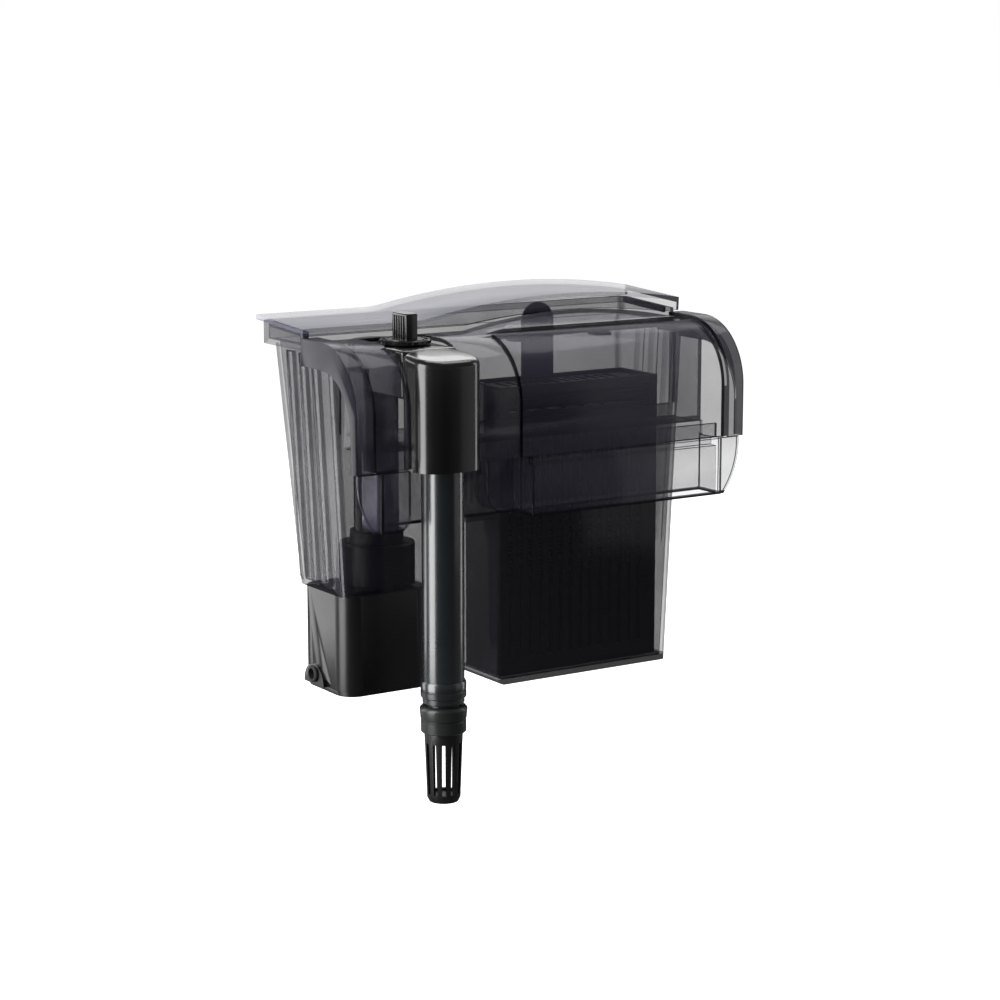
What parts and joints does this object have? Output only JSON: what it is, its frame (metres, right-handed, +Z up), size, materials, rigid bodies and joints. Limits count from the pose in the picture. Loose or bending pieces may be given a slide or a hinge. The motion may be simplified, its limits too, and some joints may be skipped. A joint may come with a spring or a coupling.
{
  "type": "hang-on-back aquarium filter",
  "caption": "Hang-on-back aquarium filter: smoked case with pump and media chambers, arched lid, hood over a waterfall spout, and a telescopic intake tube with a flow knob.",
  "frame": {"origin": "centre of the pads under the bridge, where the filter rests on the tank's rim", "axes": "+Z up, +X along the tank's wall to the right as seen from inside the tank, +Y away from the tank"},
  "size_m": [0.223, 0.1116, 0.2347],
  "materials": {
    "smoke_case": "clear smoked plastic, gloss",
    "smoke_hood": "clear smoked plastic, gloss",
    "smoke_lid": "clear smoked plastic, fine satin top",
    "gloss_black": "gloss black ABS",
    "smoke_tube": "dark smoked tube, gloss",
    "satin_black": "satin black plastic",
    "seal_rubber": "matt",
    "impeller_plastic": "natural plastic",
    "magnet": "moulded ferrite",
    "ceramic_shaft": "polished ceramic",
    "screw_steel": "stainless",
    "core_steel": "stamped laminations",
    "copper": "enamelled winding wire",
    "foam": "open-cell foam",
    "carbon_mesh": "fine mesh bag",
    "media_ceramic": "porous ceramic"
  },
  "bodies": {
    "root": {"filter_case": "smoke_case", "outflow_spout": "smoke_case", "flow_baffle": "satin_black", "intake_elbow": "gloss_black", "elbow_seal": "seal_rubber", "knob_seal": "seal_rubber", "intake_tube": "smoke_tube", "tube_band": "gloss_black", "volute_cover": "satin_black", "rotor_shaft": "ceramic_shaft", "upper_bearing": "seal_rubber", "lower_bearing": "seal_rubber", "motor_housing": "gloss_black", "motor_base": "gloss_black", "base_screws": "screw_steel", "stator_core": "core_steel", "stator_coil": "copper", "motor_seal": "seal_rubber", "cable_gland": "seal_rubber"},
    "hood": {"hood": "smoke_hood", "outflow_cover": "smoke_hood"},
    "lid": {"lid": "smoke_lid"},
    "knob": {"flow_knob": "gloss_black", "flow_gate": "satin_black"},
    "rotor": {"impeller": "impeller_plastic", "rotor_magnet": "magnet"},
    "telescope": {"extension_tube": "smoke_tube", "strainer_socket": "satin_black", "strainer": "satin_black"},
    "basket": {"media_basket": "satin_black", "basket_grid": "satin_black", "foam_sponge": "foam", "carbon_bag": "carbon_mesh", "ceramic_rings": "media_ceramic"}
  },
  "joints": [
    {"name": "hood_lift", "type": "slide", "parent": "root", "child": "hood", "axis": [0, 0, 1], "range_m": [0, 0.24]},
    {"name": "lid_lift", "type": "slide", "parent": "hood", "child": "lid", "axis": [0, 0, 1], "range_m": [0, 0.12]},
    {"name": "basket_lift", "type": "slide", "parent": "root", "child": "basket", "axis": [0, 0, 1], "range_m": [0, 0.192]},
    {"name": "tube_extend", "type": "slide", "parent": "root", "child": "telescope", "axis": [0, 0, -1], "range_m": [0, 0.06]},
    {"name": "flow_knob_turn", "type": "hinge", "parent": "root", "child": "knob", "pos_m": [-0.06432, 0.007, 0.0477], "axis": [0, 0, 1], "range_deg": [0, 90]},
    {"name": "rotor_spin", "type": "hinge", "parent": "root", "child": "rotor", "pos_m": [-0.06652, 0.0312, -0.09], "axis": [0, 0, 1], "continuous": true}
  ],
  "couplings": [
    {"joint": "basket_lift", "follows": "hood_lift", "ratio": 0.8}
  ]
}
